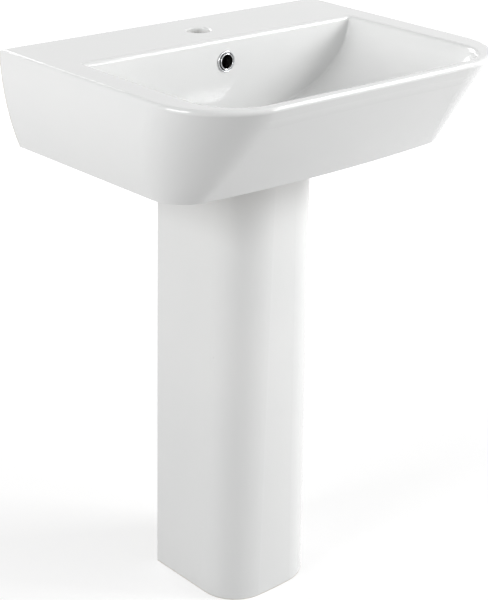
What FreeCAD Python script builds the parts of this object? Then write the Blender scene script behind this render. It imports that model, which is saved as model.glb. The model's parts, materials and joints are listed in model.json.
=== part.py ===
import FreeCAD, Part
import math
import os
import Sketcher

# Pedestal basin with its waste and bottle trap. Millimetres, +Z up, front towards -Y.
# The wall is the plane y = 0 and the floor is the plane z = 0, with x = 0 the plane of symmetry.

doc = FreeCAD.newDocument("pedestal_sink")

# Driving dimensions: alias, value, meaning.
DIMENSIONS = [
    ("basin_width", 570, "overall width of the rim"),
    ("basin_depth", 442.5, "wall to where the top and the front would meet"),
    ("rim_height", 850, "floor to the top of the rim"),
    ("apron_height", 141, "rim down to the lower edge of the apron"),
    ("apron_tuck", 24, "how far each side curls in at the lower edge"),
    ("apron_rake", 92, "how far the front slopes back at the lower edge"),
    ("apron_power", 2.2, "curl of the sides, 1 is a straight slope"),
    ("corner_top", 110, "front corner radius at the rim"),
    ("corner_low", 50, "front corner radius at the lower edge"),
    ("bow_top", 1, "bulge of the front edge at the rim"),
    ("bow_low", 17, "bulge of the front edge at the lower edge"),
    ("taper_top", 0.8, "side taper at the rim, degrees"),
    ("taper_low", 2.2, "side taper at the lower edge, degrees"),
    ("shell", 11, "ceramic wall"),
    ("past", 5, "how far a cutting shape runs past what it cuts"),
    ("back_trim", 1, "cut off the lofted back, which leaves the wall face truly flat"),
    ("bevel", 1, "small bevels on turned and moulded edges"),
    ("close", 0.05, "clearance of threads and turned fits"),
    ("loose", 0.2, "clearance of seals and slipped-on parts"),
    ("deck", 14, "ceramic thickness of the tap deck"),
    ("rim_round", 5, "rounding of the outer rim"),
    ("lip_round", 6, "rounding of the bowl's lip"),
    ("bowl_half", 239, "half width of the bowl at the rim"),
    ("bowl_rear", 132, "wall to the bowl's rear face at the rim"),
    ("bowl_lean", 5, "how far the rear face leans forward at the floor"),
    ("bowl_middle", 203, "wall to the deepest line of the bowl"),
    ("bowl_reach", 222.5, "deepest line to the bowl's front at the rim"),
    ("bowl_depth", 120, "rim to the lowest point of the bowl's curve"),
    ("bowl_power", 2.2, "squareness of the bowl's cross section"),
    ("bowl_slope", 1.6, "squareness of the bowl from back to front, lower is more sloping"),
    ("bowl_bow", 1, "bulge of the bowl's front edge, on top of the bow of its floor"),
    ("floor_bow", 2, "bulge of the front edge of the bowl's floor"),
    ("bowl_taper", 0.3, "side taper of the bowl, degrees"),
    ("bowl_corner", 66, "front corner radius of the bowl at the rim"),
    ("crease_round", 3, "rounding where the rear face meets the sides"),
    ("tap_setback", 71, "wall to the middle of the tap hole"),
    ("tap_radius", 17.5, "standard 35 mm tap hole"),
    ("tap_round", 2.5, "rounding of the tap hole's edge"),
    ("fixing_spacing", 280, "between the two wall fixings"),
    ("fixing_drop", 70, "rim down to the wall fixings"),
    ("fixing_radius", 7, "wall fixing holes"),
    ("overflow_drop", 33, "rim down to the middle of the overflow"),
    ("overflow_radius", 12.5, "hole in the ceramic for the overflow sleeve"),
    ("duct_width", 60, "overflow duct, outside"),
    ("duct_back", 98, "wall to the back of the duct"),
    ("duct_wall", 8, "ceramic wall of the duct"),
    ("duct_front", 9, "ceramic between the duct and the bowl"),
    ("duct_top", 826, "floor to the top of the duct's inside"),
    ("duct_bend", 12, "slope where the duct turns forward"),
    ("way_foot", 710, "floor to the bottom of the duct's forward run"),
    ("way_top", 718.5, "floor to the top of the duct's forward run"),
    ("rib_length", 118, "ribs that stand on the pedestal, front to back"),
    ("rib_over", 3, "how far a rib is wider than the pedestal's wall, each side"),
    ("drain_setback", 195, "wall to the middle of the waste"),
    ("drain_radius", 22.5, "waste hole"),
    ("seat_radius", 34, "recess for the waste's flange"),
    ("seat_height", 729, "floor to the recess"),
    ("boss_radius", 38, "ceramic boss around the waste hole"),
    ("boss_foot", 700, "floor to the underside of the boss"),
    ("pedestal_height", 717, "floor to the top of the pedestal"),
    ("pedestal_rear", 82, "wall to the open back of the pedestal"),
    ("pedestal_front_top", 267, "wall to the front of the pedestal at the top"),
    ("pedestal_front_foot", 261, "wall to the front of the pedestal at the foot"),
    ("pedestal_taper", 2, "taper of the pedestal's sides, degrees"),
    ("pedestal_half_top", 83, "half width at the top"),
    ("pedestal_half_foot", 95, "half width at the foot"),
    ("pedestal_corner", 62, "front corner radius"),
    ("pedestal_bow", 7, "bulge of the front face"),
    ("pad_thick", 3.5, "rubber pads between basin and pedestal"),
    ("pad_length", 30, "each pad, front to back"),
    ("pad_rear", 150, "wall to the middle of the rear pads"),
    ("pad_front", 228, "wall to the middle of the front pads"),
    ("lug_height", 12, "thickness of the floor lugs"),
    ("lug_size", 28, "floor lugs, each way"),
    ("lug_setback", 120, "wall to the middle of the floor lugs"),
    ("lug_hole", 4, "radius of the floor screw holes"),
    ("tail_radius", 20.8, "outside of the waste's threaded tail"),
    ("tail_bore", 18.2, "inside of the tail"),
    ("tail_foot", 650, "floor to the end of the tail"),
    ("flange_radius", 32, "waste flange"),
    ("flange_thick", 2.6, "waste flange"),
    ("flange_throat", 3.5, "slope from the flange into the bore"),
    ("seal_thick", 1.2, "seal under the flange"),
    ("plug_travel", 8, "how far the plug is pressed to close"),
    ("plug_radius", 30, "plug cap"),
    ("plug_gap", 0.2, "cap to flange when closed"),
    ("cap_edge", 3, "thickness of the cap at its edge"),
    ("cap_middle", 5.2, "thickness of the cap at its middle"),
    ("cap_round", 1.8, "rounding of the cap's edge"),
    ("collar_height", 2, "collar under the cap"),
    ("collar_width", 2.5, "collar outside the stem"),
    ("socket_depth", 4.5, "the stem's end in the cap"),
    ("plug_seal_thick", 1.7, "seal under the cap"),
    ("plug_seal_over", 3, "how far that seal reaches past the bore"),
    ("pipe_radius", 16, "32 mm waste pipe, outside"),
    ("pipe_wall", 1.5, "waste pipe wall"),
    ("trap_level", 565, "floor to the axis of the outlet pipe"),
    ("pipe_ease", 0.3, "clearance of a pipe in its socket"),
    ("trap_radius", 36, "bottle of the trap"),
    ("trap_wall", 3, "wall of the trap's body"),
    ("nut_radius", 25, "trap's union nuts"),
    ("top_nut_radius", 27.5, "nut on the waste's tail"),
    ("ring_bore", 10, "opening of the overflow ring"),
    ("ring_radius", 15, "outside of the overflow ring"),
    ("sleeve", 12, "overflow sleeve in the ceramic"),
    ("sleeve_wall", 1.4, "overflow sleeve"),
    ("ring_height", 3.2, "how far the overflow ring stands out"),
    ("bar_level", 688, "floor to the bar across the waste"),
    ("bar_thick", 6, "bar across the waste"),
    ("bar_width", 6, "bar across the waste"),
    ("slot_half", 9, "half width of the waste's overflow slots"),
    ("stem_radius", 4, "plug stem"),
    ("head_height", 2, "head of the stem inside the cartridge"),
    ("cartridge_radius", 7.5, "plug cartridge"),
    ("cartridge_height", 34, "plug cartridge with its thread"),
    ("cartridge_end", 2, "end walls of the cartridge"),
    ("cartridge_wall", 1.2, "side wall of the cartridge"),
    ("spring_height", 16, "room for the plug spring when open"),
    ("spring_radius", 5, "middle of the spring's wire"),
    ("spring_wire", 0.55, "radius of the spring's wire"),
    ("spring_turns", 5, "turns of the spring"),
    ("under_seal", 6, "thickness of the seal under the boss"),
    ("seal_inset", 4, "that seal inside the boss's edge"),
    ("seal_step", 1.5, "that seal's step up into the waste hole"),
    ("washer_inset", 5, "washer inside the boss's edge"),
    ("washer_thick", 2, "washer under that seal"),
    ("backnut_radius", 33, "corner to centre of the backnut"),
    ("backnut_height", 12, "backnut"),
    ("top_nut_height", 24, "that nut"),
    ("top_nut_thread", 16, "that nut's open end to its lip"),
    ("top_nut_grip", 11.5, "that nut's grip on the tail"),
    ("top_seal", 3, "seal between the tail and the inlet tube"),
    ("nut_height", 23, "trap's union nuts"),
    ("nut_grip", 14, "their grip on the trap's necks"),
    ("nut_slope", 3, "slope at the closed end of a union nut"),
    ("trap_seal", 4, "seals inside the trap's union nuts"),
    ("neck_radius", 21, "threaded necks of the trap"),
    ("neck", 16, "length of the trap's upper neck"),
    ("branch_length", 58, "trap axis to the end of its outlet branch"),
    ("trap_foot", 528, "floor to the lower edge of the trap's body"),
    ("trap_top", 587, "floor to the shoulder of the trap's body"),
    ("thread_radius", 31.15, "thread between the trap's body and cup"),
    ("thread_length", 15, "thread between the trap's body and cup"),
    ("cup_seal", 1.5, "seal between the trap's body and cup"),
    ("cup_foot", 470, "floor to the underside of the cup"),
    ("cup_wall", 2.5, "wall of the trap's cup"),
    ("cup_round", 2.4, "rounding of the cup's lower corner"),
    ("bead_setback", 42, "wall to the stop bead on the outlet pipe"),
    ("bead_height", 1.5, "how far the stop bead stands out"),
    ("pipe_gap", 1, "wall to the end of the outlet pipe"),
    ("dip_foot", 505, "floor to the end of the inlet tube"),
]

sheet = doc.addObject("Spreadsheet::Sheet", "sheet")
for row, (alias, value, meaning) in enumerate(DIMENSIONS, start=1):
    sheet.set(f"A{row}", alias)
    sheet.set(f"B{row}", str(value))
    sheet.set(f"C{row}", meaning)
    sheet.setAlias(f"B{row}", alias)
doc.recompute()


def size(alias):
    """The value of one driving dimension."""
    return float(getattr(sheet, alias))


def bind(expression):
    """Write an expression in plain aliases as one that reads the sheet."""
    words = {alias for alias, _, _ in DIMENSIONS}
    out, word = [], ""
    for letter in expression + " ":
        if letter.isalnum() or letter == "_" or (letter == "." and word[:1].isdigit()):
            word += letter
            continue
        out.append("sheet." + word if word in words else word)
        out.append(letter)
        word = ""
    return "".join(out).strip()


def newBody(label):
    body = doc.addObject("PartDesign::Body", label)
    body.Label = label
    return body


def place(body, x="0", y="0", z="0", turn=None):
    """Put a sub-part in the frame: each coordinate is an expression."""
    if turn:
        body.Placement = FreeCAD.Placement(FreeCAD.Vector(), FreeCAD.Rotation(*turn))
    for axis, expression in zip("xyz", (x, y, z)):
        body.setExpression(f"Placement.Base.{axis}", bind(expression))


def newSketch(body, name, role="XY_Plane", lift=None, turn=None):
    """A sketch on one of the body's own origin planes, lifted along that plane's normal."""
    sketch = body.newObject("Sketcher::SketchObject", name)
    plane = [p for p in body.Origin.OriginFeatures if p.Role == role][0]
    sketch.AttachmentSupport = [(plane, "")]
    sketch.MapMode = "FlatFace"
    if turn:
        sketch.AttachmentOffset = FreeCAD.Placement(FreeCAD.Vector(), FreeCAD.Rotation(*turn))
    if lift:
        sketch.setExpression("AttachmentOffset.Base.z", bind(lift))
    return sketch


def drive(sketch, constraint, expression):
    """Add a dimension to a sketch and bind it to the sheet."""
    index = sketch.addConstraint(constraint)
    sketch.setExpression(f"Constraints[{index}]", bind(expression))


ORIGIN = (-1, 1)
ACROSS = -1
UPRIGHT = -2


def dimension(sketch, kind, geometry, point, expression):
    """Hold a point at a distance from the sketch's origin. A leading minus puts it on the far side."""
    if expression.startswith("-"):
        drive(sketch, Sketcher.Constraint(kind, geometry, point, *ORIGIN, 1.0), expression[1:])
    else:
        drive(sketch, Sketcher.Constraint(kind, *ORIGIN, geometry, point, 1.0), expression)


def polygon(sketch, points):
    """A closed outline of straight edges, each corner held by two expressions."""
    count = len(points)
    ring = [FreeCAD.Vector(60 * math.cos(2 * math.pi * k / count), 60 * math.sin(2 * math.pi * k / count), 0)
            for k in range(count)]
    for k in range(count):
        sketch.addGeometry(Part.LineSegment(ring[k], ring[(k + 1) % count]))
    for k in range(count):
        sketch.addConstraint(Sketcher.Constraint("Coincident", k, 2, (k + 1) % count, 1))
    for k, (across, up) in enumerate(points):
        for kind, expression in (("DistanceX", across), ("DistanceY", up)):
            if expression == "0":
                axis = UPRIGHT if kind == "DistanceX" else ACROSS
                sketch.addConstraint(Sketcher.Constraint("PointOnObject", k, 1, axis))
            else:
                dimension(sketch, kind, k, 1, expression)
    return sketch


def circle(sketch, across, up, radius):
    index = sketch.addGeometry(Part.Circle(FreeCAD.Vector(1, 1, 0), FreeCAD.Vector(0, 0, 1), 5))
    drive(sketch, Sketcher.Constraint("Radius", index, 5.0), radius)
    for kind, expression in (("DistanceX", across), ("DistanceY", up)):
        if expression == "0":
            axis = UPRIGHT if kind == "DistanceX" else ACROSS
            sketch.addConstraint(Sketcher.Constraint("PointOnObject", index, 3, axis))
        else:
            dimension(sketch, kind, index, 3, expression)
    return sketch


def feature(body, kind, name, profile=None, **settings):
    """Add one PartDesign feature; text settings are expressions, others are plain values."""
    item = body.newObject("PartDesign::" + kind, name)
    if profile is not None:
        item.Profile = profile
    for key, value in settings.items():
        if isinstance(value, str) and key not in ("Type", "Midplane"):
            item.setExpression(key, bind(value))
        else:
            setattr(item, key, value)
    return item


def turned(label, points, x="0", y="0", z="0", turn=None):
    """A piece turned about its own axis from a profile of (radius, height) points."""
    body = newBody(label)
    sketch = polygon(newSketch(body, label + "_profile", "XZ_Plane"), points)
    feature(body, "Revolution", label + "_turn", sketch, ReferenceAxis=(sketch, ["V_Axis"]), Angle=360.0)
    place(body, x, y, z, turn)
    return body


# ---- plan outlines: flat back, tapered sides, round front corners and a bowed front ----

def outlineStart(half, back, depth, corner, front, taper):
    """The six edges of a plan outline, worked out so that the sketch's solver starts on them."""
    lean = math.radians(taper)
    run = FreeCAD.Vector(math.sin(lean), -math.cos(lean), 0)
    inward = FreeCAD.Vector(math.cos(lean), math.sin(lean), 0)
    start = FreeCAD.Vector(-half, -back, 0)
    middle = FreeCAD.Vector(0, front - depth, 0)
    foot = start + inward * corner - middle
    along, square = foot.dot(run), foot.dot(foot) - (front - corner) ** 2
    end = start + run * (-along + math.sqrt(along * along - square))
    hub = end + inward * corner
    join = hub + (hub - middle).normalize() * corner
    mirror = lambda p: FreeCAD.Vector(-p.x, p.y, 0)
    angle = lambda p, c: math.atan2(p.y - c.y, p.x - c.x)
    up = FreeCAD.Vector(0, 0, 1)
    arc = lambda c, r, p, q: Part.ArcOfCircle(Part.Circle(c, up, r), angle(p, c), angle(q, c))
    return [Part.LineSegment(mirror(start), start), Part.LineSegment(start, end),
            arc(hub, corner, end, join), arc(middle, front, join, mirror(join)),
            arc(mirror(hub), corner, mirror(join), mirror(end)),
            Part.LineSegment(mirror(end), mirror(start))]


def planOutline(sketch, half, back, depth, corner, bow, taper, wide):
    """Draw a plan outline. Each size is (value, expression); wide is the chord that the bow spans."""
    front = (wide[0] ** 2 + bow[0] ** 2) / (2 * bow[0])
    for edge in outlineStart(half[0], back[0], depth[0], corner[0], front, taper[0]):
        sketch.addGeometry(edge)
    fix = lambda *numbers: sketch.addConstraint(Sketcher.Constraint(*numbers))
    fix("Coincident", 0, 2, 1, 1)
    fix("Coincident", 5, 2, 0, 1)
    for first, second in ((1, 2), (2, 3), (3, 4), (4, 5)):
        fix("Tangent", first, 2, second, 1)
    fix("Symmetric", 0, 1, 0, 2, UPRIGHT)
    fix("Symmetric", 3, 1, 3, 2, UPRIGHT)
    fix("Equal", 2, 4)
    dimension(sketch, "DistanceX", 0, 1, half[1])
    if back[1] == "0":
        fix("PointOnObject", 0, 1, ACROSS)
    else:
        dimension(sketch, "DistanceY", 0, 1, "-" + back[1])
    drive(sketch, Sketcher.Constraint("Radius", 2, corner[0]), corner[1])
    rim = f"(({wide[1]})^2 + ({bow[1]})^2) / (2 * ({bow[1]}))"
    drive(sketch, Sketcher.Constraint("Radius", 3, front), rim)
    drive(sketch, Sketcher.Constraint("DistanceY", *ORIGIN, 3, 3, front - depth[0]), f"{rim} - ({depth[1]})")
    lean = Sketcher.Constraint("Angle", ACROSS, 1, 1, 1, math.radians(taper[0] - 90))
    drive(sketch, lean, f"({taper[1]} - 90) * 1 deg")
    return sketch


class Sized:
    """A size held twice: as the number it has now, and as the expression that keeps it."""

    def __init__(self, number, text):
        self.number, self.text = number, text

    def __getitem__(self, index):
        return (self.number, self.text)[index]


def sized(text):
    """Work out an expression of aliases, numbers and + - * / ^ ( ) on the sheet."""
    sheet.set("E1", "=" + bind(text).replace("sheet.", ""))
    sheet.recompute()
    return Sized(float(sheet.get("E1")), text)


def outlineAt(body, name, lift, half, back, depth, corner, bow, taper):
    """A plan outline at one height; every argument is an expression."""
    sketch = newSketch(body, name, "XY_Plane", lift)
    planOutline(sketch, sized(half), sized(back), sized(depth), sized(corner), sized(bow), sized(taper),
                sized(half))
    return sketch


def loft(body, name, sections, cut=False):
    kind = "SubtractiveLoft" if cut else "AdditiveLoft"
    return feature(body, kind, name, sections[0], Sections=sections[1:], Ruled=False, Closed=False)


def edgesOf(item, wanted):
    """Names of the edges of a feature whose middle point passes a test."""
    doc.recompute()
    names = []
    for number, edge in enumerate(item.Shape.Edges, start=1):
        middle = edge.valueAt((edge.FirstParameter + edge.LastParameter) / 2)
        if wanted(middle, edge):
            names.append(f"Edge{number}")
    return names


def rounded(body, name, wanted, radius):
    base = body.Tip
    names = edgesOf(base, wanted)
    return feature(body, "Fillet", name, Base=(base, names), Radius=radius)


def mix(low, high, part):
    """An expression part of the way from one to another."""
    return f"({low} + (({high}) - ({low})) * {part})"


# ---- basin ----

REAR_TILT = -math.degrees(math.atan2(size("bowl_lean"), size("bowl_depth")))
REAR_COS = "cos(atan(bowl_lean / bowl_depth))"
REAR_SIN = "sin(atan(bowl_lean / bowl_depth))"
OVERFLOW_SETBACK = "(bowl_rear + bowl_lean * overflow_drop / bowl_depth)"
BOWL_PARTS = (0, 0.3, 0.55, 0.75, 0.9, 0.985)


def apronSection(body, name, part, inset="0", back="0"):
    """Outline of the basin's outside, part of the way down the apron, moved inwards by inset."""
    return outlineAt(
        body, name, f"rim_height - apron_height * {part}",
        f"basin_width / 2 - apron_tuck * {part}^apron_power - {inset}",
        back,
        f"basin_depth - apron_rake * {part} - {inset}",
        mix("corner_top", "corner_low", f"{part}^2") + f" - {inset}",
        mix("bow_top", "bow_low", part),
        mix("taper_top", "taper_low", part))


def bowlSection(body, name, part, grow="0", drop="0"):
    """Outline of the bowl, part of the way down its curve, grown outwards by grow."""
    side = f"(1 - {part}^bowl_power)^(1 / bowl_power)"
    front = f"(1 - {part}^bowl_slope)^(1 / bowl_slope)"
    return outlineAt(
        body, name, f"rim_height - bowl_depth * {part} - {drop}",
        f"bowl_half * {side} + {grow}",
        f"bowl_rear + bowl_lean * {part} - {grow}",
        f"bowl_middle + bowl_reach * {front} + {grow}",
        f"bowl_corner * {side} + {grow}",
        f"bowl_bow * {side} + floor_bow",
        "bowl_taper")


def makeBasin():
    body = newBody("basin")
    outside = [apronSection(body, f"outside_{k}", part, back="(-back_trim)")
               for k, part in enumerate((0, 0.33, 0.67, 1))]
    loft(body, "outside", outside)
    trimBack(body)
    hollow = [apronSection(body, f"hollow_{k}", part, "shell", "shell")
              for k, part in enumerate(("(deck / apron_height)", 0.4, 0.7, 1.04))]
    loft(body, "hollow", hollow, cut=True)
    under = [bowlSection(body, f"under_{k}", part, "shell",
                         f"(shell * {part}^2 + lip_round / 2 * (1 - {part}))")
             for k, part in enumerate(BOWL_PARTS)]
    loft(body, "bowl_outside", under)
    makeDuct(body)
    makeSeats(body)
    boss = newSketch(body, "boss_outline", "XY_Plane", "boss_foot")
    circle(boss, "0", "-drain_setback", "boss_radius")
    feature(body, "Pad", "boss", boss, Length="seat_height - boss_foot + 1")
    bowl = [bowlSection(body, f"bowl_{k}", part) for k, part in enumerate(BOWL_PARTS)]
    loft(body, "bowl", bowl, cut=True)
    rounded(body, "crease", lambda p, e: isCrease(p), "crease_round")
    makeWays(body)
    rounded(body, "rim", lambda p, e: onRim(p) and outsideBowl(p), "rim_round")
    rounded(body, "lip", lambda p, e: onRim(p) and not outsideBowl(p) and not nearTap(p), "lip_round")
    place(body)
    return body


def trimBack(body):
    """Cut the loft off at the wall, so that its back is a plane."""
    side, top = "(basin_width / 2 + past)", "(rim_height + past)"
    foot = "(rim_height - apron_height - past)"
    corners = [("-" + side, foot), (side, foot), (side, top), ("-" + side, top)]
    sketch = polygon(newSketch(body, "back_outline", "XZ_Plane"), corners)
    feature(body, "Pocket", "back_cut", sketch, Type=0, Length="back_trim + past")


def isCrease(point):
    lean = size("bowl_rear") + size("bowl_lean") * (size("rim_height") - point.z) / size("bowl_depth")
    return abs(-point.y - lean) < 0.6 and size("seat_height") + 4 < point.z < size("rim_height") - 2


def onRim(point):
    return abs(point.z - size("rim_height")) < 0.01


def outsideBowl(point):
    ahead = size("bowl_middle") + size("bowl_reach") + 8
    return abs(point.x) > size("bowl_half") + 3 or -point.y > ahead or -point.y < 1


def nearTap(point):
    return -point.y < size("bowl_rear") - 5


def makeDuct(body):
    """The overflow duct: down behind the bowl's rear face, then under the floor to the waste."""
    roof, foot = "duct_top + deck", "way_foot - duct_wall"
    outer = [("-duct_back", roof), ("-duct_back", "way_foot + duct_wall"),
             ("-(duct_back + 2 * duct_wall)", foot), ("-drain_setback", foot),
             ("-drain_setback", "seat_height - seal_thick"),
             ("-(bowl_rear + shell)", "seat_height + seal_thick"), ("-(bowl_rear - shell / 2)", roof)]
    sketch = polygon(newSketch(body, "duct_side", "YZ_Plane"), outer)
    feature(body, "Pad", "duct", sketch, Length="duct_width", Midplane=True)


def makeSeats(body):
    """Two ribs under the bowl that stand on the pedestal's sides."""
    near, far = "(pedestal_half_top - shell - rib_over)", "(pedestal_half_top + rib_over)"
    foot, roof = "pedestal_height + pad_thick", "seat_height + shell"
    for name, side in (("left", "-"), ("right", "")):
        corners = [(side + near, foot), (side + far, foot), (side + far, roof), (side + near, roof)]
        sketch = newSketch(body, f"seat_{name}_end", "XZ_Plane", "bowl_rear")
        feature(body, "Pad", f"seat_{name}", polygon(sketch, corners), Length="rib_length")


def makeWays(body):
    """The holes: waste, its recess, tap, wall fixings, overflow and the inside of the duct."""
    pocket = lambda name, sketch, length, back=False: feature(
        body, "Pocket", name, sketch, Type=0, Length=length, Reversed=back)
    drain = lambda name, lift, radius: circle(
        newSketch(body, name, "XY_Plane", lift), "0", "-drain_setback", radius)
    pocket("recess", drain("recess_outline", "seat_height", "seat_radius"), "rim_height - seat_height", True)
    pocket("waste_hole", drain("waste_outline", "boss_foot - past", "drain_radius"),
           "rim_height - boss_foot", True)
    tap = newSketch(body, "tap_outline", "XY_Plane", "rim_height + past")
    circle(tap, "0", "-tap_setback", "tap_radius")
    pocket("tap_hole", tap, "deck + 2 * past")
    rounded(body, "tap_edge", lambda p, e: onRim(p) and isTapEdge(p), "tap_round")
    fixing = newSketch(body, "fixing_outline", "XZ_Plane", "-past")
    for side in ("-", ""):
        circle(fixing, side + "(fixing_spacing / 2)", "rim_height - fixing_drop", "fixing_radius")
    pocket("wall_fixings", fixing, "shell + 2 * past", True)
    back = "(duct_back + duct_wall)"
    inner = [(f"-{back}", "duct_top"), (f"-{back}", "way_foot + duct_bend"),
             (f"-({back} + duct_bend)", "way_foot"), ("-drain_setback", "way_foot"),
             ("-drain_setback", "way_top"), ("-(bowl_rear + bowl_lean - duct_front)", "way_top"),
             ("-(bowl_rear - duct_front)", "duct_top")]
    sketch = polygon(newSketch(body, "duct_inside", "YZ_Plane"), inner)
    feature(body, "Pocket", "duct_way", sketch, Type=0, Length="duct_width - 2 * duct_wall", Midplane=True)
    ahead = "2 * shell"
    hole = newSketch(body, "overflow_outline", "XZ_Plane", turn=(FreeCAD.Vector(1, 0, 0), REAR_TILT))
    hole.setExpression("AttachmentOffset.Base.y", bind(f"rim_height - overflow_drop + {ahead} * {REAR_SIN}"))
    hole.setExpression("AttachmentOffset.Base.z", bind(f"{OVERFLOW_SETBACK} + {ahead} * {REAR_COS}"))
    circle(hole, "0", "0", "overflow_radius")
    pocket("overflow_hole", hole, f"2 * {ahead}")


def isTapEdge(point):
    return abs(math.hypot(point.x, point.y + size("tap_setback")) - size("tap_radius")) < 0.5


# ---- pedestal and its pads ----

def pedestalSection(body, name, end, height, inset="0", back="pedestal_rear"):
    half, front = (f"pedestal_{way}_{end} - {inset}" for way in ("half", "front"))
    return outlineAt(body, name, height, half, back, front, f"pedestal_corner - {inset}",
                     "pedestal_bow", "pedestal_taper")


def makePedestal():
    body = newBody("pedestal")
    loft(body, "outside", [pedestalSection(body, "foot_outside", "foot", "0"),
                           pedestalSection(body, "top_outside", "top", "pedestal_height")])
    rear = "(pedestal_rear - past)"
    loft(body, "hollow", [pedestalSection(body, "foot_hollow", "foot", "-past", "shell", rear),
                          pedestalSection(body, "top_hollow", "top", "pedestal_height + past", "shell",
                                          rear)], cut=True)
    for name, side in (("left", "-"), ("right", "")):
        inner, outer = "(pedestal_half_foot - shell - lug_size)", "(pedestal_half_foot - shell / 2)"
        near, far = "-(lug_setback - lug_size / 2)", "-(lug_setback + lug_size / 2)"
        corners = [(side + inner, near), (side + outer, near), (side + outer, far), (side + inner, far)]
        lug = polygon(newSketch(body, f"lug_{name}_plan"), corners)
        feature(body, "Pad", f"lug_{name}", lug, Length="lug_height")
    screws = newSketch(body, "screw_plan", "XY_Plane", "-past")
    for side in ("-", ""):
        circle(screws, side + "(pedestal_half_foot - shell - lug_size / 2)", "-lug_setback", "lug_hole")
    feature(body, "Pocket", "screw_holes", screws, Type=0, Length="lug_height + 2 * past", Reversed=True)
    place(body)
    return body


def makePads():
    """Four rubber pads on the top edge of the pedestal, one group of separate solids."""
    pads = []
    for x in ("bevel - pedestal_half_top", "pedestal_half_top - shell"):
        for setback in ("pad_rear", "pad_front"):
            pad = doc.addObject("Part::Box", f"pad_{len(pads)}")
            pad.setExpression("Length", bind("shell - bevel"))
            pad.setExpression("Width", bind("pad_length"))
            pad.setExpression("Height", bind("pad_thick"))
            place(pad, x, f"-{setback} - pad_length / 2", "pedestal_height")
            pads.append(pad)
    group = doc.addObject("Part::Compound", "pedestal_pads")
    group.Label = "pedestal_pads"
    group.Links = pads
    return group


# ---- waste, overflow and plug ----

FLANGE_FOOT = "(seat_height + seal_thick)"
FLANGE_TOP = "(seat_height + seal_thick + flange_thick)"


def ringAt(label, inner, outer, height, z, y="-drain_setback"):
    """A plain ring or washer on an upright axis, its foot at height z."""
    return turned(label, [(inner, "0"), (outer, "0"), (outer, height), (inner, height)], y=y, z=z)


def makeOverflowRing():
    """Chrome ring with a rounded face and a sleeve that goes into the ceramic, square to the rear face."""
    face = "sleeve + ring_height"
    outline = [("ring_bore", "0"), ("ring_bore + sleeve_wall", "0"), ("ring_bore + sleeve_wall", "sleeve"),
               ("ring_radius", "sleeve"), ("ring_radius", "sleeve + sleeve_wall"),
               ("ring_radius - bevel", f"{face} - bevel / 2"), ("ring_radius - 2.5 * bevel", face),
               ("ring_bore + bevel", f"{face} - bevel / 4"), ("ring_bore", f"{face} - sleeve_wall")]
    return turned("overflow_ring", outline, y=f"-{OVERFLOW_SETBACK} + sleeve * {REAR_COS}",
                  z=f"rim_height - overflow_drop - sleeve * {REAR_SIN}",
                  turn=(FreeCAD.Vector(1, 0, 0), 90 + REAR_TILT))


def makeWasteBody():
    """Flange and slotted tail in one, with a bar across the bore that holds the plug's cartridge."""
    flange = f"({FLANGE_TOP} - tail_foot)"
    body = turned("waste_body", [
        ("tail_bore", "0"), ("tail_radius", "0"), ("tail_radius", f"{flange} - flange_thick"),
        ("flange_radius", f"{flange} - flange_thick"), ("flange_radius", f"{flange} - bevel"),
        ("flange_radius - 1.5 * bevel", flange), ("tail_bore + bevel + flange_throat", flange),
        ("tail_bore", f"{flange} - flange_throat")],
        y="-drain_setback", z="tail_foot")
    near, far, end = "-(bar_width / 2)", "bar_width / 2", "(tail_bore + tail_radius) / 2"
    bar = [(f"-({end})", near), (end, near), (end, far), (f"-({end})", far)]
    lift = "bar_level - tail_foot"
    across = polygon(newSketch(body, "bar_plan", "XY_Plane", lift), bar)
    feature(body, "Pad", "bar", across, Length="bar_thick")
    hub = circle(newSketch(body, "hub_plan", "XY_Plane", lift), "0", "0", "2 * stem_radius")
    feature(body, "Pad", "hub", hub, Length="bar_thick")
    thread = circle(newSketch(body, "thread_plan", "XY_Plane", lift + " - past"), "0", "0", "stem_radius")
    feature(body, "Pocket", "hub_thread", thread, Type=0, Length="bar_thick + 2 * past", Reversed=True)
    low, high = "(way_foot - tail_foot)", "(way_top + duct_wall / 4 - tail_foot)"
    slot = [("-slot_half", low), ("slot_half", low), ("slot_half", high), ("-slot_half", high)]
    feature(body, "Pocket", "overflow_slots", polygon(newSketch(body, "slot_end", "XZ_Plane"), slot),
            Type=0, Length="2 * (tail_radius + past)", Midplane=True)
    return body


def makeBacknut():
    """Six-sided backnut that pulls the waste down onto the basin."""
    prism = doc.addObject("Part::Prism", "backnut_outside")
    prism.Polygon = 6
    prism.setExpression("Circumradius", bind("backnut_radius"))
    prism.setExpression("Height", bind("backnut_height"))
    bore = doc.addObject("Part::Cylinder", "backnut_bore")
    bore.setExpression("Radius", bind("tail_radius + close"))
    bore.setExpression("Height", bind("backnut_height"))
    nut = doc.addObject("Part::Cut", "waste_backnut")
    nut.Label = "waste_backnut"
    nut.Base, nut.Tool = prism, bore
    place(nut, y="-drain_setback", z=f"{WASHER_FOOT} - backnut_height")
    return nut


WASHER_FOOT = "(boss_foot - under_seal - washer_thick)"
PLUG_FOOT = f"({FLANGE_TOP} + plug_gap - collar_height + plug_travel)"


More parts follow.
